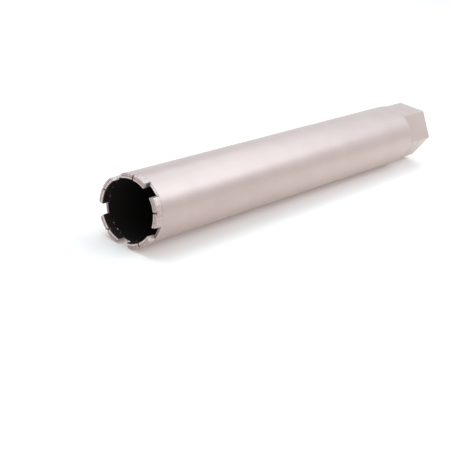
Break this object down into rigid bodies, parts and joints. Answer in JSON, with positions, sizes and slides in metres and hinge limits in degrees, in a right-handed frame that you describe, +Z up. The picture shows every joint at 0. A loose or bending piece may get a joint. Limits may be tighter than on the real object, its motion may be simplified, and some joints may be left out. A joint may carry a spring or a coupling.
{
  "type": "diamond core bit",
  "caption": "Wet diamond core bit: a plain steel barrel with notched diamond segments brazed round its open cutting end and a hexagonal hub with an internal thread at its drive end.",
  "frame": {"origin": "on the surface that the bit lies on, under the middle of its length", "axes": "+X along the bit from the crown to the hub, +Z up, with one water slot of the crown facing down"},
  "size_m": [0.376, 0.051, 0.0505],
  "materials": {
    "hub_paint": "satin metallic paint",
    "barrel_paint": "satin metallic paint",
    "segment_paint": "thin metallic paint over grainy sintered metal"
  },
  "bodies": {
    "root": {"hub": "hub_paint", "barrel": "barrel_paint", "segment_1": "segment_paint", "segment_2": "segment_paint", "segment_3": "segment_paint", "segment_4": "segment_paint", "segment_5": "segment_paint"}
  },
  "joints": []
}
